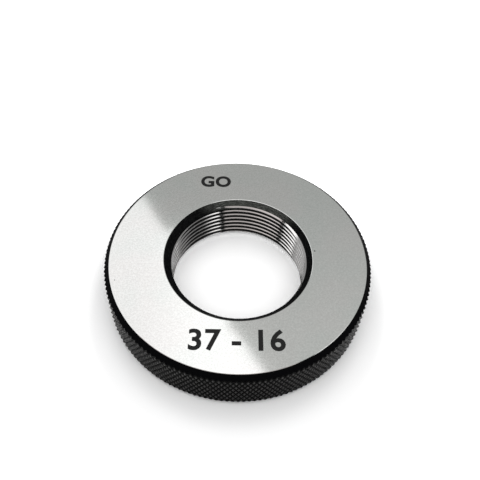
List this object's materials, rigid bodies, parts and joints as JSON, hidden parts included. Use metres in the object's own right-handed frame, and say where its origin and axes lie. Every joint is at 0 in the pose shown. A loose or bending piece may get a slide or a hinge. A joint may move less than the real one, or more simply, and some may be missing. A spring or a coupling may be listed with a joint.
{
  "type": "thread ring gauge",
  "caption": "Solid GO thread ring gauge: ground steel faces, black diamond-knurled rim with chamfers, and a right-hand internal V thread through the bore.",
  "frame": {"origin": "centre of the back face, on the axis of the ring, where the gauge rests on a surface", "axes": "+Z along the thread axis, from the back face to the marked front face; +X to the right of the marks as they are read, +Y up their page"},
  "size_m": [0.071, 0.071, 0.014],
  "materials": {
    "gauge_steel": "ground and lapped, with a black oxide on the rim and in the chamfers"
  },
  "bodies": {
    "root": {"gauge_ring": "gauge_steel"}
  },
  "joints": []
}
